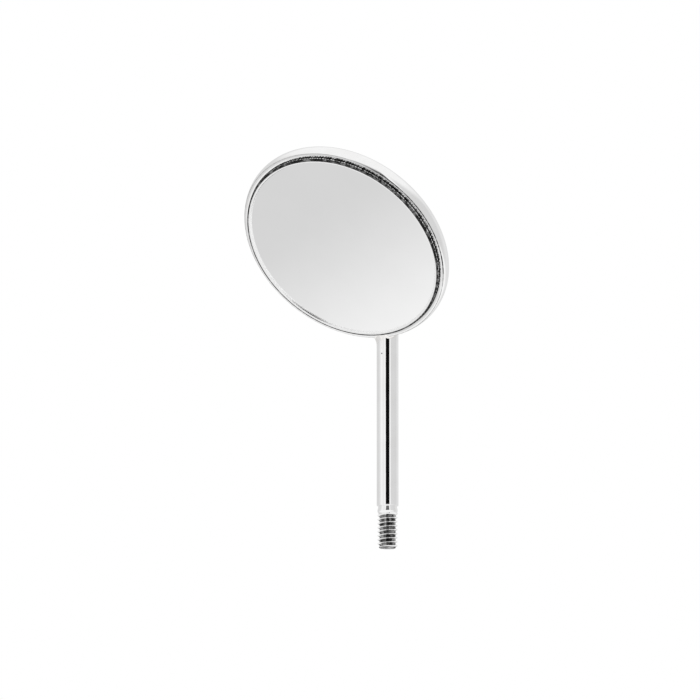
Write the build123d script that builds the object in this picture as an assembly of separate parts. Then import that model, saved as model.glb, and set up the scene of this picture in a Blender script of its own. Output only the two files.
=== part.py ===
from build123d import *
import os
from math import acos, asin, cos, degrees, radians, sin, sqrt, tan

# Head of a dental mouth mirror on its screw-in stem.
#
# Row frame: the origin is the centre of the shank's shoulder, where the handle seats.
# +Z runs up the stem to the head and -Z down the threaded spigot. The mirror looks
# towards -Y and down, and the YZ plane is the plane of symmetry.
#
# The head is turned about its own axis. Its sections are drawn as (r, h) pairs: r is the
# radius from the head's axis, and h the height along the mirror's outward normal, with
# h = 0 at the bezel's lip. Lengths are in millimetres and angles in degrees.

# ---- Driving dimensions -------------------------------------------------------------

# Round head, size 4
HEAD_RADIUS = 11.0  # widest radius
EDGE_RADIUS = 1.30  # section radius of the rounded edge
EDGE_DEPTH = 1.015  # from the lip back to the plane of the widest circle
CROWN_RADIUS = 320.0  # the back is very slightly domed
FLOOR = 0.28  # thickness of the case's back
BORE_RADIUS = 10.40  # straight inside wall of the case
RIM_DEPTH = 0.36  # from the lip back to the case's flat rim

# Bezel
LIP_RADIUS = 10.00  # opening that the mirror shows through
LIP_ROUND = 0.06
SKIRT_WALL = 0.14
SKIRT_DEPTH = 1.20  # from the lip back to the end of the skirt inside the case

# Mirror and what it lies on
MIRROR_DEPTH = 0.18  # from the lip back to the reflecting surface
FILM_THICKNESS = 0.03
GLASS_RADIUS = 10.18
GLASS_THICKNESS = 1.40
GLASS_CHAMFER = 0.10
PAD_RADIUS = 9.50

# Stem
STEM_ANGLE = 40.0  # between the stem's axis and the mirror's plane
STEM_LENGTH = 16.68  # shoulder to the point where the axis meets the widest circle's plane
STEM_REACH = 11.40  # from the head's axis to that point
SHANK_RADIUS = 1.075
SHANK_TOP = 18.20  # centre of the shank's domed end
SHOULDER_CHAMFER = 0.10

# Threaded spigot, M2 x 0.4
THREAD_RADIUS = 1.0
PITCH = 0.40
THREAD_ANGLE = 60.0
SPIGOT_LENGTH = 4.20
NECK_RADIUS = 0.90
NECK_LENGTH = 0.45
TIP_CHAMFER = 0.22
GROOVES = 8
RUN_OUT_SHARE = 0.75  # depth of the last groove as a share of the others'

# Solder
SOLDER_RADIUS = 0.90  # fillet between the stem and the case
SOLDER_BITE = 0.01  # how far the fillet's edges start inside both surfaces
BEZEL_CLEARANCE = 0.12  # keeps the stem and its solder off the bezel, which goes in last

# ---- Worked-out dimensions ----------------------------------------------------------

edge_centre = HEAD_RADIUS - EDGE_RADIUS
rim_angle = degrees(acos((EDGE_DEPTH - RIM_DEPTH) / EDGE_RADIUS))

# The crown's centre lies on the head's axis, and its sphere is tangent to the rounded edge.
crown_rise = sqrt((CROWN_RADIUS - EDGE_RADIUS) ** 2 - edge_centre**2)
crown_centre = crown_rise - EDGE_DEPTH
crown_angle = 180 - degrees(acos(crown_rise / (CROWN_RADIUS - EDGE_RADIUS)))

inner_edge_radius = EDGE_RADIUS - FLOOR
inner_crown_radius = CROWN_RADIUS - FLOOR
bore_end_angle = 180 - degrees(asin((BORE_RADIUS - edge_centre) / inner_edge_radius))
skirt_inner = BORE_RADIUS - SKIRT_WALL
glass_front = MIRROR_DEPTH + FILM_THICKNESS
glass_back = glass_front + GLASS_THICKNESS


def edge_point(angle, radius=EDGE_RADIUS):
    """Point of the rounded edge; angle 0 faces the front, 90 outwards and 180 the back."""
    turn = radians(angle)
    return edge_centre + radius * sin(turn), radius * cos(turn) - EDGE_DEPTH


def crown_point(r, radius=CROWN_RADIUS):
    """Point of the domed back at the distance r from the head's axis."""
    return r, crown_centre - sqrt(radius**2 - r**2)


def place(point):
    """An (r, h) pair as a point of the section plane."""
    return point[0], 0, point[1]


def line(*points):
    return Polyline([place(point) for point in points])


def arc(start, middle, end):
    return ThreePointArc(place(start), place(middle), place(end))


def edge_arc(start_angle, end_angle, radius=EDGE_RADIUS):
    middle_angle = (start_angle + end_angle) / 2
    return arc(
        edge_point(start_angle, radius),
        edge_point(middle_angle, radius),
        edge_point(end_angle, radius),
    )


def crown_arc(start_r, end_r, radius=CROWN_RADIUS):
    return arc(
        crown_point(start_r, radius),
        crown_point((start_r + end_r) / 2, radius),
        crown_point(end_r, radius),
    )


def turn_section(*curves):
    """Solid of revolution about Z from the lines and arcs of a closed section."""
    edges = [edge for curve in curves for edge in curve.edges()]
    return revolve(make_face(Wire(edges)), Axis.Z, 360)


# ---- Head, in its own frame: the lip's plane is z = 0 and the mirror looks to +Z -----


def back_case():
    """Cup with a straight bore, a flat rim, a full rounded edge and a slightly domed back."""
    tangent = edge_point(crown_angle)
    inner_tangent = edge_point(crown_angle, inner_edge_radius)
    return turn_section(
        edge_arc(rim_angle, crown_angle),
        crown_arc(tangent[0], 0),
        line(crown_point(0), crown_point(0, inner_crown_radius)),
        crown_arc(0, inner_tangent[0], inner_crown_radius),
        edge_arc(crown_angle, bore_end_angle, inner_edge_radius),
        line(
            edge_point(bore_end_angle, inner_edge_radius),
            (BORE_RADIUS, -RIM_DEPTH),
            edge_point(rim_angle),
        ),
    )


def round_corner(corner, side):
    """Rounding of the lip; side is 1 for its outer corner and -1 for its inner one."""
    slope = LIP_ROUND * (1 - sqrt(1 / 2))
    return arc(
        (corner, -LIP_ROUND), (corner - side * slope, -slope), (corner - side * LIP_ROUND, 0)
    )


def bezel_ring():
    """Ring that stands proud of the case, with a lip over the glass and a pressed-in skirt."""
    return turn_section(
        round_corner(LIP_RADIUS, -1),
        line((LIP_RADIUS + LIP_ROUND, 0), (BORE_RADIUS - LIP_ROUND, 0)),
        round_corner(BORE_RADIUS, 1),
        line(
            (BORE_RADIUS, -LIP_ROUND),
            (BORE_RADIUS, -SKIRT_DEPTH),
            (skirt_inner, -SKIRT_DEPTH),
            (skirt_inner, -MIRROR_DEPTH),
            (LIP_RADIUS, -MIRROR_DEPTH),
            (LIP_RADIUS, -LIP_ROUND),
        ),
    )


def reflecting_film():
    """Bright metal layer on the front of the glass."""
    return Pos(0, 0, -glass_front) * Cylinder(
        GLASS_RADIUS, FILM_THICKNESS, align=(Align.CENTER, Align.CENTER, Align.MIN)
    )


def mirror_glass():
    return turn_section(
        line(
            (0, -glass_front),
            (GLASS_RADIUS, -glass_front),
            (GLASS_RADIUS, GLASS_CHAMFER - glass_back),
            (GLASS_RADIUS - GLASS_CHAMFER, -glass_back),
            (0, -glass_back),
            (0, -glass_front),
        )
    )


def edge_seal():
    """Ring of sealing compound round the edge of the glass and under the skirt."""
    return turn_section(
        line(
            (GLASS_RADIUS, -MIRROR_DEPTH),
            (skirt_inner, -MIRROR_DEPTH),
            (skirt_inner, -SKIRT_DEPTH),
            (BORE_RADIUS, -SKIRT_DEPTH),
            (BORE_RADIUS, GLASS_CHAMFER - glass_back),
            (GLASS_RADIUS, GLASS_CHAMFER - glass_back),
            (GLASS_RADIUS, -MIRROR_DEPTH),
        )
    )


def backing_pad():
    """Cushion disc that presses the glass against the bezel."""
    pad_edge = crown_point(PAD_RADIUS, inner_crown_radius)
    return turn_section(
        line(
            crown_point(0, inner_crown_radius),
            (0, -glass_back),
            (PAD_RADIUS, -glass_back),
            pad_edge,
        ),
        crown_arc(PAD_RADIUS, 0, inner_crown_radius),
    )


def case_envelope(growth=0.0):
    """The case's filled outer shape, grown outwards by the given amount."""
    radius = EDGE_RADIUS + growth
    rim = edge_point(rim_angle, radius)
    tangent = edge_point(crown_angle, radius)
    return turn_section(
        line((0, rim[1]), rim),
        edge_arc(rim_angle, crown_angle, radius),
        crown_arc(tangent[0], 0, CROWN_RADIUS + growth),
        line(crown_point(0, CROWN_RADIUS + growth), (0, rim[1])),
    )


def bezel_relief():
    """Space round the proud part of the bezel that the stem and the solder keep clear of."""
    return Pos(0, 0, -RIM_DEPTH) * Cylinder(
        BORE_RADIUS + BEZEL_CLEARANCE, 1, align=(Align.CENTER, Align.CENTER, Align.MIN)
    )


# ---- Stem, in the row frame ---------------------------------------------------------


def thread_outline():
    """Half outline of the spigot, from its tip up to the shoulder.

    Each groove is a closed ring with the depth and flanks of a metric thread, and the
    last one before the neck is shallower, as where a thread runs out.
    """
    flank = tan(radians(THREAD_ANGLE / 2))
    full_depth = 5 / 16 * PITCH / flank
    root_half = PITCH / 8
    points = [
        (0, -SPIGOT_LENGTH),
        (THREAD_RADIUS - TIP_CHAMFER, -SPIGOT_LENGTH),
        (THREAD_RADIUS, TIP_CHAMFER - SPIGOT_LENGTH),
    ]
    for index in range(GROOVES):
        middle = -PITCH * (GROOVES + 1 - index)
        depth = full_depth if index < GROOVES - 1 else full_depth * RUN_OUT_SHARE
        mouth_half = root_half + depth * flank
        points += [
            (THREAD_RADIUS, middle - mouth_half),
            (THREAD_RADIUS - depth, middle - root_half),
            (THREAD_RADIUS - depth, middle + root_half),
            (THREAD_RADIUS, middle + mouth_half),
        ]
    points += [(THREAD_RADIUS, -NECK_LENGTH), (NECK_RADIUS, 0)]
    return points


def dome_arc(radius):
    """Quarter circle of the shank's domed end, from its side to its top."""
    diagonal = radius * sqrt(1 / 2)
    return arc((radius, SHANK_TOP), (diagonal, SHANK_TOP + diagonal), (0, SHANK_TOP + radius))


def stem_bar():
    """Turned bar: threaded spigot, shoulder, plain shank and domed top."""
    return turn_section(
        line(
            (0, SHANK_TOP + SHANK_RADIUS),
            *thread_outline(),
            (SHANK_RADIUS - SHOULDER_CHAMFER, 0),
            (SHANK_RADIUS, SHOULDER_CHAMFER),
            (SHANK_RADIUS, SHANK_TOP),
        ),
        dome_arc(SHANK_RADIUS),
    )


def solder_fillet():
    """Fillet of solder between the shank and the head.

    It starts just under both surfaces, so that its edges have some thickness.
    """
    head = head_place * case_envelope(-SOLDER_BITE)
    radius = SHANK_RADIUS - SOLDER_BITE
    bottom = SHANK_TOP - STEM_LENGTH
    shank = turn_section(
        line((0, SHANK_TOP + radius), (0, bottom), (radius, bottom), (radius, SHANK_TOP)),
        dome_arc(radius),
    )
    joined = head + shank
    return joined.fillet(SOLDER_RADIUS, new_edges(head, shank, combined=joined))


# ---- Assembly -----------------------------------------------------------------------

# Unit vectors of the head in the YZ plane, as (y, z) pairs
facing = -cos(radians(STEM_ANGLE)), -sin(radians(STEM_ANGLE))
towards_stem = sin(radians(STEM_ANGLE)), -cos(radians(STEM_ANGLE))
head_y = EDGE_DEPTH * facing[0] - STEM_REACH * towards_stem[0]
head_z = STEM_LENGTH + EDGE_DEPTH * facing[1] - STEM_REACH * towards_stem[1]
head_place = Pos(0, head_y, head_z) * Rot(90 + STEM_ANGLE, 0, 0)

envelope = head_place * case_envelope()
relief = head_place * bezel_relief()
bar = stem_bar()

nodes = {
    "back_case": head_place * back_case(),
    "bezel_ring": head_place * bezel_ring(),
    "reflecting_film": head_place * reflecting_film(),
    "mirror_glass": head_place * mirror_glass(),
    "edge_seal": head_place * edge_seal(),
    "backing_pad": head_place * backing_pad(),
    "threaded_stem": bar - envelope - relief,
    "solder_joint": solder_fillet() - envelope - bar - relief,
}

os.makedirs("parts", exist_ok=True)
for name, shape in nodes.items():
    export_step(shape, f"parts/{name}.step")
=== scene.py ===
from math import acos, asin, atan2, cos, degrees, exp, hypot, pi, radians, sin, sqrt, tan

import bmesh
import bpy
from mathutils import Matrix, Vector


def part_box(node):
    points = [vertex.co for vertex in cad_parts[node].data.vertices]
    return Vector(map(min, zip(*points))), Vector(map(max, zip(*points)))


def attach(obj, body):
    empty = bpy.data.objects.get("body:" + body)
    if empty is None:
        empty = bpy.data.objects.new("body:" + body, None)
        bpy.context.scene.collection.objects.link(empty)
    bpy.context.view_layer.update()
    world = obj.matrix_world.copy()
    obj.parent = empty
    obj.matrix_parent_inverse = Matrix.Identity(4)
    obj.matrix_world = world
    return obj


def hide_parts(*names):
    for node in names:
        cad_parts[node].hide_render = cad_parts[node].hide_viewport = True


# Dental mouth mirror: a polished round head soldered to a screw-in stem.
#
# Lengths in this script are millimetres, and every piece is scaled to metres when it is
# placed. The head's sections are (r, h) pairs: r is the radius from the head's axis and h
# the height along the mirror's outward normal, with h = 0 at the bezel's lip.

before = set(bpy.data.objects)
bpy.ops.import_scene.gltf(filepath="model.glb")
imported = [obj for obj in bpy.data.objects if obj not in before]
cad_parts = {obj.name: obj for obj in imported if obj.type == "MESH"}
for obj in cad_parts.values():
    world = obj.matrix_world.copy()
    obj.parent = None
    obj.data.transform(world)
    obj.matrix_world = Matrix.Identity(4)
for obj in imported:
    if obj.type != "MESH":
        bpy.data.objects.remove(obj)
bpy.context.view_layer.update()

MM = 0.001
BODY = "root"

# ---- Sizes, the same as the CAD model's --------------------------------------------------

EDGE_RADIUS = 1.30
EDGE_DEPTH = 1.015
CROWN_RADIUS = 320.0
FLOOR = 0.28
RIM_DEPTH = 0.36
LIP_RADIUS = 10.00
SKIRT_WALL = 0.14
SKIRT_DEPTH = 1.20
MIRROR_DEPTH = 0.18
FILM_THICKNESS = 0.03
STEM_ANGLE = 40.0
SHANK_TOP = 18.20
THREAD_RADIUS = 1.0
PITCH = 0.40
THREAD_ANGLE = 60.0
NECK_RADIUS = 0.90
NECK_LENGTH = 0.45
TIP_CHAMFER = 0.22

# Fine detail that only the visual model has
LIP_INNER_ROUND = 0.05
LIP_OUTER_ROUND = 0.13
BEZEL_GAP = 0.015  # hairline between the bezel and the case
RIM_INNER_ROUND = 0.04
RIM_OUTER_ROUND = 0.05
THREAD_FADE = (-1.15, -0.40)  # the thread runs out between these heights
SOLDER_SINK = 0.015
SHOULDER_ROUND = 0.04

HEAD_SEGMENTS = 384
STEM_SEGMENTS = 128


def half_width(node):
    low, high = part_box(node)
    return (high.x - low.x) / 2 / MM


HEAD_RADIUS = half_width("back_case")
BORE_RADIUS = half_width("bezel_ring")
GLASS_RADIUS = half_width("reflecting_film")
SHANK_RADIUS = half_width("threaded_stem")
SPIGOT_LENGTH = -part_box("threaded_stem")[0].z / MM

edge_centre = HEAD_RADIUS - EDGE_RADIUS
rim_angle = degrees(acos((EDGE_DEPTH - RIM_DEPTH) / EDGE_RADIUS))
crown_rise = sqrt((CROWN_RADIUS - EDGE_RADIUS) ** 2 - edge_centre**2)
crown_centre = crown_rise - EDGE_DEPTH
crown_angle = 180 - degrees(acos(crown_rise / (CROWN_RADIUS - EDGE_RADIUS)))
bore_end_angle = 180 - degrees(asin((BORE_RADIUS - edge_centre) / (EDGE_RADIUS - FLOOR)))
skirt_inner = BORE_RADIUS - SKIRT_WALL

# The head's place, from where the reflecting film lies
normal = Vector((0, -cos(radians(STEM_ANGLE)), -sin(radians(STEM_ANGLE))))
film_low, film_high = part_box("reflecting_film")
film_middle = (film_low + film_high) / 2 / MM
lip_centre = film_middle + normal * (MIRROR_DEPTH + FILM_THICKNESS / 2)
HEAD = Matrix.Translation(lip_centre) @ Matrix.Rotation(radians(90 + STEM_ANGLE), 4, "X")
HEAD_INVERSE = HEAD.inverted()

# ---- Camera ------------------------------------------------------------------------------

VIEW_AZIMUTH = radians(33.6)
VIEW_ELEVATION = radians(-7.7)
VIEW_DISTANCE = 1500.0
VIEW_WIDTH = 69.09  # what the picture spans at the object
AIM_RIGHT = -3.711
AIM_UP = 15.397
SENSOR = 36.0

view_right = Vector((cos(VIEW_AZIMUTH), sin(VIEW_AZIMUTH), 0))
view_back = Vector(
    (
        sin(VIEW_AZIMUTH) * cos(VIEW_ELEVATION),
        -cos(VIEW_AZIMUTH) * cos(VIEW_ELEVATION),
        sin(VIEW_ELEVATION),
    )
)
view_up = view_back.cross(view_right)
camera_level = Vector((sin(VIEW_AZIMUTH), -cos(VIEW_AZIMUTH), 0))
camera_place = view_right * AIM_RIGHT + view_up * AIM_UP + view_back * VIEW_DISTANCE


def add_camera():
    data = bpy.data.cameras.new("camera")
    data.sensor_width = SENSOR
    data.lens = SENSOR * VIEW_DISTANCE / VIEW_WIDTH
    data.clip_start = 0.01
    data.clip_end = 20.0
    camera = bpy.data.objects.new("camera", data)
    turn = Matrix((view_right, view_up, view_back)).transposed().to_4x4()
    camera.matrix_world = Matrix.Translation(camera_place * MM) @ turn
    bpy.context.scene.collection.objects.link(camera)
    bpy.context.scene.camera = camera


# ---- Mesh helpers ------------------------------------------------------------------------


def edge_point(angle, radius=EDGE_RADIUS):
    """Point of the rounded edge; angle 0 faces the front, 90 outwards and 180 the back."""
    turn = radians(angle)
    return edge_centre + radius * sin(turn), radius * cos(turn) - EDGE_DEPTH


def edge_arc(start, end, radius=EDGE_RADIUS, steps=24):
    """Corners without rounding along the rounded edge, both ends included."""
    angles = [start + (end - start) * step / steps for step in range(steps + 1)]
    return [(*edge_point(angle, radius), 0) for angle in angles]


def crown_arc(start, end, radius=CROWN_RADIUS, steps=12):
    """Corners without rounding along the domed back."""
    rs = [start + (end - start) * step / steps for step in range(steps + 1)]
    return [(r, crown_centre - sqrt(radius**2 - r**2), 0) for r in rs]


def soften(corners, steps=6):
    """Outline points of (r, h, rounding) corners, with an arc at each rounded one."""
    points = []
    for index, (r, h, rounding) in enumerate(corners):
        here = Vector((r, h))
        if rounding == 0:
            points.append(here)
            continue
        before = (Vector(corners[index - 1][:2]) - here).normalized()
        after = (Vector(corners[(index + 1) % len(corners)][:2]) - here).normalized()
        half = before.angle(after) / 2
        centre = here + (before + after).normalized() * rounding / sin(half)
        start = here + before * rounding / tan(half) - centre
        end = here + after * rounding / tan(half) - centre
        for step in range(steps + 1):
            points.append(centre + start.lerp(end, step / steps).normalized() * rounding)
    return points


def ring(mesh, radius, height, segments):
    """Vertices of one level circle, or its single middle vertex where the radius is nil."""
    if radius < 1e-6:
        return [mesh.verts.new((0, 0, height))]
    turns = [2 * pi * step / segments for step in range(segments)]
    return [mesh.verts.new((radius * cos(turn), radius * sin(turn), height)) for turn in turns]


def bridge(mesh, first, second):
    """Faces between two rings, either of which may be a single vertex."""
    count = max(len(first), len(second))
    if count == 1:
        return
    for index in range(count):
        after = (index + 1) % count
        corners = [first[index % len(first)], first[after % len(first)]]
        corners += [second[after % len(second)], second[index % len(second)]]
        mesh.faces.new(list(dict.fromkeys(corners)))


def make_object(name, mesh, place=Matrix.Identity(4), crease=28):
    """Object from a bmesh in millimetres, smooth but for edges sharper than crease degrees."""
    bmesh.ops.recalc_face_normals(mesh, faces=mesh.faces)
    mesh.transform(Matrix.Scale(MM, 4) @ place)
    data = bpy.data.meshes.new(name)
    mesh.to_mesh(data)
    mesh.free()
    data.shade_smooth()
    data.set_sharp_from_angle(angle=radians(crease))
    piece = bpy.data.objects.new(name, data)
    bpy.context.scene.collection.objects.link(piece)
    return piece


def turn_outline(corners, segments=HEAD_SEGMENTS):
    """Closed surface of revolution of a closed outline."""
    mesh = bmesh.new()
    rings = [ring(mesh, point[0], point[1], segments) for point in soften(corners)]
    for first, second in zip(rings, rings[1:] + rings[:1]):
        bridge(mesh, first, second)
    return mesh


# ---- Head --------------------------------------------------------------------------------


def build_case():
    """Pressed and polished cup: flat rim, full rounded edge and slightly domed back."""
    inner = EDGE_RADIUS - FLOOR
    tangent = edge_point(crown_angle)[0]
    inner_tangent = edge_point(crown_angle, inner)[0]
    corners = [
        (BORE_RADIUS + BEZEL_GAP, -RIM_DEPTH, RIM_INNER_ROUND),
        (*edge_point(rim_angle), RIM_OUTER_ROUND),
        *edge_arc(rim_angle, crown_angle, steps=32)[1:],
        *crown_arc(tangent, 0)[1:],
        *crown_arc(0, inner_tangent, CROWN_RADIUS - FLOOR),
        *edge_arc(crown_angle, bore_end_angle, inner)[1:],
    ]
    return make_object("polished_case", turn_outline(corners), HEAD)


def build_bezel():
    """Burnished ring that stands proud of the case, with a lip over the glass."""
    wall = BORE_RADIUS
    corners = [
        (LIP_RADIUS, -MIRROR_DEPTH, 0),
        (LIP_RADIUS, 0, LIP_INNER_ROUND),
        (wall, 0, LIP_OUTER_ROUND),
        (wall, -SKIRT_DEPTH, 0),
        (skirt_inner, -SKIRT_DEPTH, 0),
        (skirt_inner, -MIRROR_DEPTH, 0),
    ]
    return make_object("burnished_bezel", turn_outline(corners), HEAD)


def build_film():
    """Front-surface mirror layer."""
    back = -MIRROR_DEPTH - FILM_THICKNESS
    corners = [
        (0, -MIRROR_DEPTH, 0),
        (GLASS_RADIUS, -MIRROR_DEPTH, 0),
        (GLASS_RADIUS, back, 0),
        (0, back, 0),
    ]
    return make_object("mirror_surface", turn_outline(corners), HEAD)


# ---- Stem --------------------------------------------------------------------------------

full_thread = 5 / 16 * PITCH / tan(radians(THREAD_ANGLE / 2))
# Where rows of the thread's mesh lie within one pitch, from the middle of a crest
THREAD_ROWS = [0, 0.05, 0.075, 0.22, 0.36, 0.40, 0.50, 0.60, 0.64, 0.78, 0.925, 0.95]


def smooth_step(value, low, high):
    share = min(max((value - low) / (high - low), 0), 1)
    return share * share * (3 - 2 * share)


def spigot_radius(z, turn):
    """Radius of the threaded spigot at the height z, where turn is the share of a full turn."""
    phase = (z / PITCH - turn) % 1
    from_crest = min(phase, 1 - phase) * PITCH
    cut = (from_crest - PITCH / 32) / tan(radians(THREAD_ANGLE / 2))
    depth = min(max(cut, 0), full_thread) * (1 - smooth_step(z, *THREAD_FADE))
    neck = THREAD_RADIUS + (NECK_RADIUS - THREAD_RADIUS) * max(0, 1 + z / NECK_LENGTH)
    tip = THREAD_RADIUS - TIP_CHAMFER + z + SPIGOT_LENGTH
    return min(THREAD_RADIUS - depth, neck, tip)


def add_thread(mesh):
    """Right-hand helical thread: each row of vertices climbs one pitch in a turn."""
    per_pitch = len(THREAD_ROWS)
    pitches = int(SPIGOT_LENGTH / PITCH) + 3
    rows = []
    for index in range(pitches * per_pitch):
        start = (index // per_pitch - 1 + THREAD_ROWS[index % per_pitch]) * PITCH - SPIGOT_LENGTH
        row = []
        for column in range(STEM_SEGMENTS):
            turn = column / STEM_SEGMENTS
            z = min(max(start + PITCH * turn, -SPIGOT_LENGTH), 0)
            radius = spigot_radius(z, turn)
            angle = 2 * pi * turn
            row.append(mesh.verts.new((radius * cos(angle), radius * sin(angle), z)))
        rows.append(row)
    for index in range(len(rows) - 1 - per_pitch):
        for column in range(STEM_SEGMENTS):
            lower, upper = rows[index], rows[index + 1]
            if column == STEM_SEGMENTS - 1:
                next_lower, next_upper = rows[index + per_pitch], rows[index + per_pitch + 1]
            else:
                next_lower, next_upper = lower, upper
            after = (column + 1) % STEM_SEGMENTS
            mesh.faces.new((lower[column], next_lower[after], next_upper[after], upper[column]))


def build_stem():
    """Turned stem: domed top, plain shank, shoulder and threaded spigot."""
    mesh = bmesh.new()
    add_thread(mesh)
    tip = [(0, -SPIGOT_LENGTH), (THREAD_RADIUS - TIP_CHAMFER, -SPIGOT_LENGTH)]
    levels = [
        (NECK_RADIUS, 0),
        (SHANK_RADIUS - SHOULDER_ROUND, 0),
        (SHANK_RADIUS - SHOULDER_ROUND * 0.3, SHOULDER_ROUND * 0.3),
        (SHANK_RADIUS, SHOULDER_ROUND),
        (SHANK_RADIUS, SHOULDER_ROUND * 2),
    ]
    rows = 24
    levels += [(SHANK_RADIUS, SHANK_TOP * row / rows) for row in range(1, rows + 1)]
    dome_steps = 14
    for step in range(1, dome_steps + 1):
        turn = pi / 2 * step / dome_steps
        levels.append((SHANK_RADIUS * cos(turn), SHANK_TOP + SHANK_RADIUS * sin(turn)))
    for outline in (tip, levels):
        rings = [ring(mesh, radius, height, STEM_SEGMENTS) for radius, height in outline]
        for first, second in zip(rings, rings[1:]):
            bridge(mesh, first, second)
    bmesh.ops.remove_doubles(mesh, verts=mesh.verts, dist=1e-4)
    stem = make_object("polished_stem", mesh)
    cut_away(stem, case_filling(-SOLDER_SINK))
    return stem


def case_filling(growth):
    """The case's outer shape without its hollow, grown by the given amount."""
    radius = EDGE_RADIUS + growth
    rim = edge_point(rim_angle, radius)
    tangent = edge_point(crown_angle, radius)[0]
    corners = [
        (0, rim[1], 0),
        *edge_arc(rim_angle, crown_angle, radius),
        *crown_arc(tangent, 0, CROWN_RADIUS + growth)[1:],
    ]
    return make_object("case_filling", turn_outline(corners), HEAD)


def cut_away(piece, tool):
    """Takes the tool's volume out of the piece, and removes the tool."""
    cut = piece.modifiers.new("cut", "BOOLEAN")
    cut.operation = "DIFFERENCE"
    cut.solver = "EXACT"
    cut.object = tool
    bpy.context.view_layer.update()
    evaluated = piece.evaluated_get(bpy.context.evaluated_depsgraph_get())
    result = bpy.data.meshes.new_from_object(evaluated)
    piece.modifiers.remove(cut)
    piece.data = result
    result.shade_smooth()
    result.set_sharp_from_angle(angle=radians(28))
    bpy.data.objects.remove(tool)


# ---- Solder ------------------------------------------------------------------------------

# The seam's loop lies near a plane through SEAM_MIDDLE; SEAM_OUT points out of that plane,
# away from the head, and SEAM_UP lies in it.
SEAM_MIDDLE = Vector((0, -0.75 * SHANK_RADIUS, SHANK_TOP - 0.15))
SEAM_UP = Vector((0, 0.25, 0.97)).normalized()
SEAM_OUT = Vector((0, 0.97, -0.25)).normalized()
SEAM_STEPS = 160


def stem_distance(point):
    level = min(point.z, SHANK_TOP)
    return (point - Vector((0, 0, level))).length - SHANK_RADIUS


def case_distance(point):
    """Distance from the case's outer surface, positive outside."""
    local = HEAD_INVERSE @ point
    r = hypot(local.x, local.y)
    h = local.z
    angle = degrees(atan2(r - edge_centre, h + EDGE_DEPTH))
    if angle < -90:
        angle += 360  # behind the head and inside the rounded edge
    if angle < rim_angle:
        corner = edge_point(rim_angle)
        if r < corner[0]:
            return h - corner[1]
        return hypot(r - corner[0], h - corner[1])
    if angle < crown_angle:
        return hypot(r - edge_centre, h + EDGE_DEPTH) - EDGE_RADIUS
    return hypot(r, h - crown_centre) - CROWN_RADIUS


def slope(distance, point):
    """Unit direction in which the distance grows."""
    step = 1e-4
    parts = []
    for axis in range(3):
        offset = Vector((0, 0, 0))
        offset[axis] = step
        parts.append(distance(point + offset) - distance(point - offset))
    return Vector(parts).normalized()


def seam_point(turn, guess):
    """Point on both the stem and the case, in the half plane at this turn about the seam."""
    along = Vector((1, 0, 0)) * cos(turn) + SEAM_UP * sin(turn)
    a, b = guess
    for _ in range(40):
        point = SEAM_MIDDLE + along * a + SEAM_OUT * b
        first, second = stem_distance(point), case_distance(point)
        first_slope, second_slope = slope(stem_distance, point), slope(case_distance, point)
        matrix = Matrix(
            (
                (first_slope.dot(along), first_slope.dot(SEAM_OUT)),
                (second_slope.dot(along), second_slope.dot(SEAM_OUT)),
            )
        )
        if abs(matrix.determinant()) < 1e-6:
            break
        step = matrix.inverted() @ Vector((first, second))
        if step.length > 0.2:
            step *= 0.2 / step.length
        a -= step.x
        b -= step.y
    return SEAM_MIDDLE + along * a + SEAM_OUT * b, (a, b)


def bell(value, middle, width):
    return exp(-(((value - middle) / width) ** 2))


DRIP_HALF_WIDTH = 22.0  # degrees round the stem from its front
SWELL_FACING = -60.0  # the solder runs further down on this side


def solder_reach(point, turn):
    """How far the solder runs down the stem and over the case at a point of the seam."""
    facing = degrees(atan2(point.x, -point.y))
    low = 1 if point.z < SHANK_TOP else 0
    ripple = 1 + 0.08 * sin(3 * turn + 1) + 0.05 * sin(7 * turn)
    drip = low * exp(-((facing / DRIP_HALF_WIDTH) ** 4))
    swell = low * bell(facing, SWELL_FACING, 30)
    on_stem = 0.30 * ripple + drip + swell
    on_case = 0.26 * ripple - low * 0.17 * bell(facing, 0, 30) + 0.20 * swell
    return on_stem, on_case


def build_solder():
    """Bead of silver solder round the seam, with a drip down the front of the stem."""
    turns = [2 * pi * step / SEAM_STEPS for step in range(SEAM_STEPS)]
    seam = []
    guess = (1.2, 0.5)
    for turn in turns:
        point, guess = seam_point(turn, guess)
        seam.append(point)
    mesh = bmesh.new()
    loops = []
    arc_steps = 10
    for index, point in enumerate(seam):
        tangent = (seam[(index + 1) % SEAM_STEPS] - seam[index - 1]).normalized()
        stem_normal, case_normal = slope(stem_distance, point), slope(case_distance, point)
        down_stem = tangent.cross(stem_normal).normalized()
        down_stem *= 1 if down_stem.dot(case_normal) > 0 else -1
        over_case = tangent.cross(case_normal).normalized()
        over_case *= 1 if over_case.dot(stem_normal) > 0 else -1
        on_stem, on_case = solder_reach(point, turns[index])
        start = point + down_stem * on_stem
        start -= slope(stem_distance, start) * stem_distance(start)
        end = point + over_case * on_case
        end -= slope(case_distance, end) * case_distance(end)
        section = [start - slope(stem_distance, start) * SOLDER_SINK]
        for step in range(arc_steps + 1):
            share = step / arc_steps
            section.append(
                start * (1 - share) ** 2 + point * 2 * share * (1 - share) + end * share**2
            )
        section.append(end - slope(case_distance, end) * SOLDER_SINK)
        section.append(point - (stem_normal + case_normal) * SOLDER_SINK * 3)
        loops.append([mesh.verts.new(corner) for corner in section])
    for index, loop in enumerate(loops):
        after = loops[(index + 1) % SEAM_STEPS]
        for corner in range(len(loop)):
            other = (corner + 1) % len(loop)
            mesh.faces.new((loop[corner], loop[other], after[other], after[corner]))
    return make_object("solder_bead", mesh, crease=60)


# ---- Node helpers ------------------------------------------------------------------------


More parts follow.
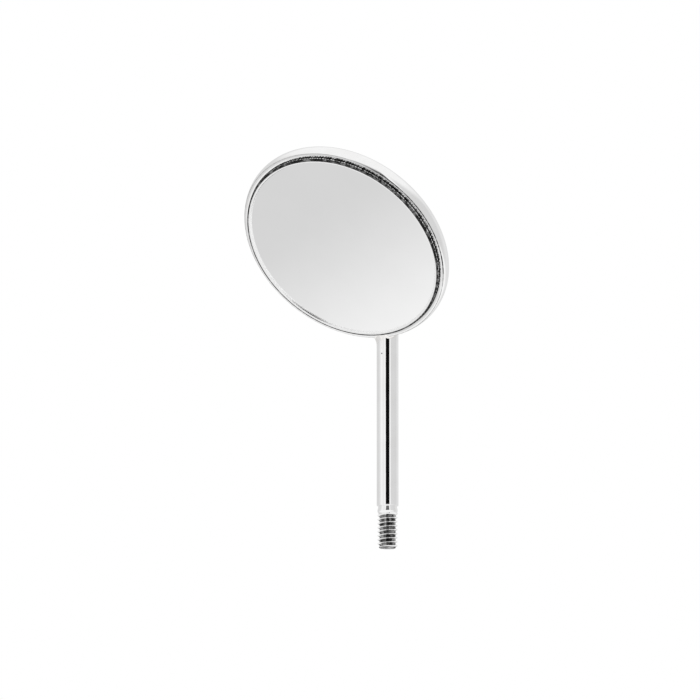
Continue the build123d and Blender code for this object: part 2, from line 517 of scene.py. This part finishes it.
def add(tree, kind, inputs=(), **settings):
    """A node with its settings, and its inputs set to a number or linked to a socket."""
    node = tree.nodes.new(kind)
    for name, value in settings.items():
        setattr(node, name, value)
    for socket, value in dict(inputs).items():
        if isinstance(value, bpy.types.NodeSocket):
            tree.links.new(value, node.inputs[socket])
        else:
            node.inputs[socket].default_value = value
    return node


def maths(tree, operation, first, second=0.0):
    return add(tree, "ShaderNodeMath", {0: first, 1: second}, operation=operation).outputs[0]


def dot(tree, socket, direction):
    inputs = {0: socket, 1: tuple(direction)}
    return add(tree, "ShaderNodeVectorMath", inputs, operation="DOT_PRODUCT").outputs["Value"]


def fade(tree, value, low, high, at_low=0.0, at_high=1.0):
    """Smooth change from at_low to at_high while the value goes from low to high."""
    inputs = {"Value": value, 1: low, 2: high, 3: at_low, 4: at_high}
    node = add(tree, "ShaderNodeMapRange", inputs, interpolation_type="SMOOTHSTEP")
    return node.outputs[0]


def blend(tree, share, first, second):
    """Number between first and second."""
    node = add(tree, "ShaderNodeMix", {0: share, 2: first, 3: second}, data_type="FLOAT")
    return node.outputs[0]


def tint(tree, share, first, second):
    """Colour between first and second."""
    node = add(tree, "ShaderNodeMix", {0: share, 6: first, 7: second}, data_type="RGBA")
    return node.outputs[2]


def noise(tree, vector, scale, detail=3.0, roughness=0.5):
    inputs = {"Vector": vector, "Scale": scale, "Detail": detail, "Roughness": roughness}
    return add(tree, "ShaderNodeTexNoise", inputs).outputs[0]


def within(tree, value, low, high, soft):
    """1 between low and high, and 0 further than soft outside them."""
    rising = fade(tree, value, low - soft, low)
    falling = fade(tree, value, high, high + soft, 1.0, 0.0)
    return maths(tree, "MULTIPLY", rising, falling)


def millimetres(tree):
    """Place in the object, in millimetres."""
    place = add(tree, "ShaderNodeTexCoord").outputs["Object"]
    inputs = {0: place, "Scale": 1 / MM}
    return add(tree, "ShaderNodeVectorMath", inputs, operation="SCALE").outputs[0]


def head_place(tree):
    """Sockets for r, h and the turn about the head's axis, and the head's own vector."""
    place = millimetres(tree)
    inputs = {0: place, 1: tuple(-lip_centre)}
    moved = add(tree, "ShaderNodeVectorMath", inputs, operation="ADD").outputs[0]
    axes = HEAD.to_3x3().transposed()
    x, y, h = (dot(tree, moved, axis) for axis in axes)
    square = maths(tree, "ADD", maths(tree, "MULTIPLY", x, x), maths(tree, "MULTIPLY", y, y))
    r = maths(tree, "SQRT", square)
    turn = maths(tree, "ARCTAN2", y, x)
    return r, h, turn, moved


def new_material(name):
    material = bpy.data.materials.new(name)
    material.use_nodes = True
    tree = material.node_tree
    return material, tree, tree.nodes["Principled BSDF"]


def set_bump(tree, shader, height, depth):
    """Bump whose height socket spans 0 to 1 over depth millimetres."""
    inputs = {"Height": height, "Distance": depth * MM, "Strength": 1.0}
    bump = add(tree, "ShaderNodeBump", inputs)
    tree.links.new(bump.outputs[0], shader.inputs["Normal"])


def metal(name, bright, dark, shine, wave_depth, grain_depth, scratch_scale):
    """Polished metal: slightly uneven colour and gloss, polishing waves and fine scratches.

    scratch_scale stretches the scratches: a small number draws them out along that axis.
    Returns the material with its tree, shader, colour and roughness sockets.
    """
    material, tree, shader = new_material(name)
    place = millimetres(tree)
    cloud = noise(tree, place, 0.7, 4.0)
    inputs = {0: place, 1: scratch_scale}
    drawn = add(tree, "ShaderNodeVectorMath", inputs, operation="MULTIPLY").outputs[0]
    scratch = noise(tree, drawn, 6.0, 5.0, 0.65)
    colour = tint(tree, fade(tree, cloud, 0.35, 0.65), dark, bright)
    low, high = shine
    gloss = maths(tree, "ADD", fade(tree, scratch, 0.35, 0.75, low, high), 0.0)
    wave = maths(tree, "MULTIPLY", noise(tree, place, 0.9, 1.0), wave_depth)
    grain = maths(tree, "MULTIPLY", scratch, grain_depth)
    shader.inputs["Metallic"].default_value = 1.0
    tree.links.new(colour, shader.inputs["Base Color"])
    tree.links.new(gloss, shader.inputs["Roughness"])
    height = maths(tree, "ADD", wave, grain)
    set_bump(tree, shader, height, 1.0)
    return material, tree, shader, colour, gloss, height


def grey(value, warmth=0.0):
    return (value * (1 + warmth), value, value * (1 - warmth), 1.0)


# ---- Materials ---------------------------------------------------------------------------


def paint_shade(tree, shader, colour, gloss, share, depth, rough):
    """Paints the metal darker and duller where the share is high: painted shade and painted dark
    reflections, not the metal's own colour.
    """
    tree.links.new(tint(tree, share, colour, grey(depth)), shader.inputs["Base Color"])
    tree.links.new(blend(tree, share, gloss, rough), shader.inputs["Roughness"])


def side_share(tree, turn, middle, half, soft):
    """1 on one side of the head, within half degrees of the middle turn, and 0 elsewhere."""
    facing = maths(tree, "COSINE", maths(tree, "SUBTRACT", turn, radians(middle)))
    return fade(tree, facing, cos(radians(half + soft)), cos(radians(half)))


def case_material():
    """Spun steel case: light turning marks, a satin rim, painted shade at the rim's inner edge by the
    bezel's wall, and a painted dark reflection along the rim's outer corner.
    """
    material, tree, shader, colour, gloss, height = metal(
        "case_polish", grey(0.955), grey(0.925, 0.004), (0.045, 0.13), 0.004, 0.0006, (1, 1, 1)
    )
    r, h, turn, place = head_place(tree)
    speckle = noise(tree, place, 3.0, 3.0, 0.6)
    patchy = fade(tree, speckle, 0.35, 0.6, 0.6, 1.0)
    # Painted shade in the crevice at the foot of the bezel's wall, strongest on chosen sides of the
    # head, and a painted dark reflection along the rim's outer corner, strong on another side and, as
    # the hairline, faint all round. The speckle makes both patchy.
    front = fade(tree, h, -0.47, -0.43)
    foot = within(tree, r, 10.30, 10.45, 0.03)
    foot = maths(tree, "MULTIPLY", foot, side_share(tree, turn, 48, 75, 40))
    corner = within(tree, r, 10.735, 10.83, 0.02)
    corner = maths(tree, "MULTIPLY", corner, side_share(tree, turn, 13, 28, 22))
    hairline = maths(tree, "MULTIPLY", within(tree, r, 10.79, 10.82, 0.02), 0.6)
    corner = maths(tree, "MAXIMUM", corner, hairline)
    painted_rim_lines = maths(tree, "MULTIPLY", maths(tree, "MAXIMUM", foot, corner), front)
    paint_shade(tree, shader, colour, gloss, maths(tree, "MULTIPLY", painted_rim_lines, patchy), 0.02, 0.4)
    circles = add(tree, "ShaderNodeCombineXYZ", {0: maths(tree, "MULTIPLY", r, 9.0), 1: turn, 2: h})
    marks = noise(tree, circles.outputs[0], 1.6, 3.0, 0.7)
    set_bump(tree, shader, maths(tree, "ADD", height, maths(tree, "MULTIPLY", marks, 0.0012)), 1.0)
    return material


BEAD_PITCH = 0.30  # between the small tool dents along the bezel's wall, where the painted dark reflection is left out


def bezel_material():
    """Burnished bezel: satin lip, and a painted dark reflection over the lip's outer edge and the wall,
    left out at a row of small tool dents that so show bright.
    """
    material, tree, shader, colour, gloss, height = metal(
        "bezel_polish", grey(0.985), grey(0.96, 0.002), (0.22, 0.32), 0.002, 0.0006, (1, 1, 1)
    )
    r, h, turn, place = head_place(tree)
    speckle = noise(tree, place, 2.2, 3.0, 0.6)
    patchy = fade(tree, speckle, 0.32, 0.55, 0.75, 1.0)
    # Painted dark reflection from the lip's outer edge outwards, reaching further in on one side of the
    # head. The bead dents along the wall are left out of it, and the speckle makes it patchy.
    inward = maths(tree, "MULTIPLY", side_share(tree, turn, 55, 30, 50), 0.08)
    crest = fade(tree, maths(tree, "ADD", r, inward), 10.19, 10.24)
    along = maths(tree, "MULTIPLY", turn, BORE_RADIUS / BEAD_PITCH)
    slant = maths(tree, "MULTIPLY_ADD", h, 2.0)
    tree.links.new(along, slant.node.inputs[2])
    grid = add(tree, "ShaderNodeCombineXYZ", {0: slant, 1: maths(tree, "MULTIPLY", h, 1 / 0.22)})
    inputs = {"Vector": grid.outputs[0], "Scale": 1.0, "Randomness": 0.55}
    cells = add(tree, "ShaderNodeTexVoronoi", inputs, voronoi_dimensions="2D").outputs["Distance"]
    mark = fade(tree, cells, 0.22, 0.42, 1.0, 0.0)
    bead = maths(tree, "MULTIPLY", mark, within(tree, h, -0.25, -0.15, 0.02))
    dark = maths(tree, "MULTIPLY", crest, maths(tree, "SUBTRACT", 1.0, bead))
    paint_shade(tree, shader, colour, gloss, maths(tree, "MULTIPLY", dark, patchy), 0.02, 0.4)
    dents = maths(tree, "MULTIPLY", bead, 0.01)
    set_bump(tree, shader, maths(tree, "ADD", height, dents), 1.0)
    return material


def film_material():
    """Front-surface film: almost a perfect mirror, with the faintest haze."""
    material, tree, shader = new_material("mirror_film")
    place = millimetres(tree)
    haze = noise(tree, place, 0.35, 3.0)
    shader.inputs["Metallic"].default_value = 1.0
    tree.links.new(
        tint(tree, fade(tree, haze, 0.3, 0.7), grey(0.962), grey(0.972)), shader.inputs["Base Color"]
    )
    gloss = fade(tree, noise(tree, place, 2.0, 4.0), 0.3, 0.8, 0.004, 0.02)
    tree.links.new(gloss, shader.inputs["Roughness"])
    return material


PIT = (0.03, -1.075, 15.08)
PIT_RADIUS = 0.075


def stem_material():
    """Polished stem: drawn-out polishing marks, painted shade in the thread's roots, and a small sunk
    pit with painted shade in it.
    """
    material, tree, shader, colour, gloss, height = metal(
        "stem_polish", grey(0.955), grey(0.925, 0.003), (0.03, 0.09), 0.006, 0.0004, (1, 1, 0.25)
    )
    place = millimetres(tree)
    # Painted shade in the small pit, which the bump also sinks.
    inputs = {0: place, 1: PIT}
    away = add(tree, "ShaderNodeVectorMath", inputs, operation="DISTANCE").outputs["Value"]
    pit = fade(tree, away, PIT_RADIUS * 0.5, PIT_RADIUS * 1.2, 1.0, 0.0)
    # Painted shade in the thread's roots on the spigot, made patchy by noise; the same mask also
    # darkens the middle of the spigot's end face.
    level = add(tree, "ShaderNodeVectorMath", {0: place, 1: (1, 1, 0)}, operation="MULTIPLY").outputs[0]
    radius = add(tree, "ShaderNodeVectorMath", {0: level}, operation="LENGTH").outputs["Value"]
    root = fade(tree, radius, 0.82, 0.93, 1.0, 0.0)
    on_spigot = fade(tree, dot(tree, place, (0, 0, 1)), -0.95, -0.6, 1.0, 0.0)
    patchy = fade(tree, noise(tree, place, 2.5, 3.0), 0.35, 0.6, 0.5, 1.0)
    painted_root_shade = maths(tree, "MULTIPLY", maths(tree, "MULTIPLY", root, on_spigot), patchy)
    paint_shade(tree, shader, colour, gloss, maths(tree, "MAXIMUM", pit, painted_root_shade), 0.03, 0.35)
    sunk = maths(tree, "MULTIPLY", pit, -0.02)
    set_bump(tree, shader, maths(tree, "ADD", height, sunk), 1.0)
    return material


def solder_material():
    """Silver solder: a little yellower and duller than the steel, with a rippled skin."""
    material, *_ = metal(
        "solder_silver", grey(0.95, 0.012), grey(0.90, 0.02), (0.07, 0.18), 0.012, 0.001, (1, 1, 1)
    )
    return material


def glass_material():
    """Clear glass with a faint green body colour and hardly any haze."""
    material, tree, shader = new_material("clear_glass")
    haze = noise(tree, millimetres(tree), 0.8, 2.0)
    tree.links.new(
        tint(tree, haze, (0.90, 0.96, 0.93, 1.0), (0.95, 0.99, 0.97, 1.0)), shader.inputs["Base Color"]
    )
    tree.links.new(fade(tree, haze, 0.3, 0.7, 0.0, 0.03), shader.inputs["Roughness"])
    shader.inputs["Transmission Weight"].default_value = 1.0
    shader.inputs["IOR"].default_value = 1.52
    return material


def soft_material(name, light, dark, scale, rough):
    """Matt, grainy compound or cushion."""
    material, tree, shader = new_material(name)
    grain = noise(tree, millimetres(tree), scale, 6.0, 0.6)
    tree.links.new(tint(tree, fade(tree, grain, 0.35, 0.65), dark, light), shader.inputs["Base Color"])
    tree.links.new(fade(tree, grain, 0.3, 0.7, rough - 0.1, rough), shader.inputs["Roughness"])
    set_bump(tree, shader, grain, 0.05)
    return material


def dress(piece, material):
    piece.data.materials.clear()
    piece.data.materials.append(material)


# ---- Studio ------------------------------------------------------------------------------


def camera_direction(azimuth, elevation):
    """Direction at this azimuth from the camera's side, to its right, and this elevation."""
    level = camera_level * cos(radians(azimuth)) + view_right * sin(radians(azimuth))
    return level * cos(radians(elevation)) + Vector((0, 0, sin(radians(elevation))))


# Brightness of the studio's walls round the object, by azimuth from the camera's side
WALLS = [
    (-180, 0.74),
    (-113, 0.70),
    (-90, 0.78),
    (-70, 0.97),
    (-44, 0.86),
    (-25, 0.98),
    (-20.5, 1.0),
    (-19, 0.004),
    (19, 0.004),
    (20.5, 1.0),
    (29, 0.97),
    (36, 0.71),
    (100, 0.69),
    (122, 0.80),
    (180, 0.74),
]


def reflected(direction):
    """Direction after reflection in the mirror."""
    return direction - normal * 2 * normal.dot(direction)


# What the middle of the mirror shows the camera
mirror_sight = reflected((lip_centre - camera_place).normalized())


def patch(tree, direction, towards, inner, outer):
    """1 within inner degrees of a direction, and 0 beyond outer degrees."""
    near, far = cos(radians(inner)), cos(radians(outer))
    return fade(tree, dot(tree, direction, towards), far, near)


MIRROR_DARK = 0.685  # brightness that the mirror shows at its darker and its lighter side
MIRROR_LIGHT = 0.94
LIT = 0.97  # brightness of the room below the horizon
SHADE = 0.05  # brightness of the room's dark corner


def build_world():
    """Plain white studio to the camera; soft panels of different brightness to reflections."""
    world = bpy.data.worlds.new("studio")
    bpy.context.scene.world = world
    world.use_nodes = True
    tree = world.node_tree
    direction = add(tree, "ShaderNodeTexCoord").outputs["Generated"]
    side = dot(tree, direction, view_right)
    front = dot(tree, direction, camera_level)
    share = maths(tree, "MULTIPLY_ADD", maths(tree, "ARCTAN2", side, front), 1 / (2 * pi))
    share.node.inputs[2].default_value = 0.5
    ramp = add(tree, "ShaderNodeValToRGB", {0: share})
    stops = ramp.color_ramp.elements
    while len(stops) > 1:
        stops.remove(stops[-1])
    for index, (azimuth, value) in enumerate(WALLS):
        stop = stops[0] if index == 0 else stops.new(azimuth / 360 + 0.5)
        stop.position = azimuth / 360 + 0.5
        stop.color = grey(value)
    up = dot(tree, direction, (0, 0, 1))
    value = blend(tree, fade(tree, up, 0.45, 0.75), ramp.outputs[0], 0.95)
    value = blend(tree, fade(tree, up, -0.45, -0.30, 1.0, 0.0), value, LIT)

    # Soft edge of the panel that the mirror shows
    across = reflected(view_right * 0.5 - view_up * 0.87)
    middle = mirror_sight.dot(across)
    spread = HEAD_RADIUS / VIEW_DISTANCE
    start, end = middle - 0.5 * spread, middle + 1.2 * spread
    panel = fade(tree, dot(tree, direction, across), start, end, MIRROR_DARK, MIRROR_LIGHT)
    value = blend(tree, patch(tree, direction, mirror_sight, 5, 12), value, panel)

    # Light from behind and below the camera, under the dark panel that the stem shows
    to_camera = (camera_place - lip_centre).normalized()
    under = fade(tree, up, -0.11, -0.06, 1.0, 0.0)
    under = maths(tree, "MULTIPLY", under, patch(tree, direction, to_camera, 22, 30))
    value = blend(tree, under, value, LIT)

    # Dark corner of the room, behind and almost straight down
    corner = patch(tree, direction, camera_direction(178, -67), 12, 26)
    value = blend(tree, corner, value, SHADE)

    seen = add(tree, "ShaderNodeLightPath").outputs["Is Camera Ray"]
    value = blend(tree, seen, value, 1.0)
    tree.links.new(value, tree.nodes["Background"].inputs["Color"])


FLOOR_DROP = 210.0  # the floor lies this far under the spigot's tip
FLOOR_SIZE = 3000.0


def build_floor():
    """Plain pale floor, well below the head, which is held by its spigot."""
    mesh = bmesh.new()
    half = FLOOR_SIZE / 2
    level = -SPIGOT_LENGTH - FLOOR_DROP
    corners = [(-half, -half), (half, -half), (half, half), (-half, half)]
    mesh.faces.new([mesh.verts.new((x, y, level)) for x, y in corners])
    floor = make_object("floor", mesh)
    floor.visible_glossy = False
    material, tree, shader = new_material("floor_paper")
    grain = noise(tree, millimetres(tree), 0.02, 5.0)
    tree.links.new(tint(tree, grain, grey(0.90), grey(0.94)), shader.inputs["Base Color"])
    shader.inputs["Roughness"].default_value = 0.8
    dress(floor, material)


def build_light():
    """One large soft lamp overhead, for the floor and the soft shadow."""
    data = bpy.data.lights.new("overhead", "AREA")
    data.shape = "DISK"
    data.size = 0.6
    data.energy = 3.0
    lamp = bpy.data.objects.new("overhead", data)
    lamp.location = (0.1, -0.2, 0.7)
    lamp.rotation_euler = (Vector((0, 0, 0)) - lamp.location).to_track_quat("-Z", "Y").to_euler()
    lamp.visible_glossy = False
    lamp.visible_camera = False
    bpy.context.scene.collection.objects.link(lamp)


# ---- Assembly ----------------------------------------------------------------------------

add_camera()
build_world()
build_floor()
build_light()

pieces = [
    (build_case(), "back_case", "case_steel", case_material()),
    (build_bezel(), "bezel_ring", "bezel_steel", bezel_material()),
    (build_film(), "reflecting_film", "mirror_film", film_material()),
    (build_stem(), "threaded_stem", "stem_steel", stem_material()),
    (build_solder(), "solder_joint", "silver_solder", solder_material()),
]
for piece, node, slot, material in pieces:
    dress(piece, material)
    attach(piece, BODY)
    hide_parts(node)

dress(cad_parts["mirror_glass"], glass_material())
dress(
    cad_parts["edge_seal"],
    soft_material("sealant", grey(0.16, 0.03), grey(0.09), 2.0, 0.6),
)
dress(
    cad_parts["backing_pad"],
    soft_material("pad", grey(0.55, 0.12), grey(0.38, 0.15), 1.5, 0.9),
)

scene = bpy.context.scene
scene.view_settings.view_transform = "Standard"
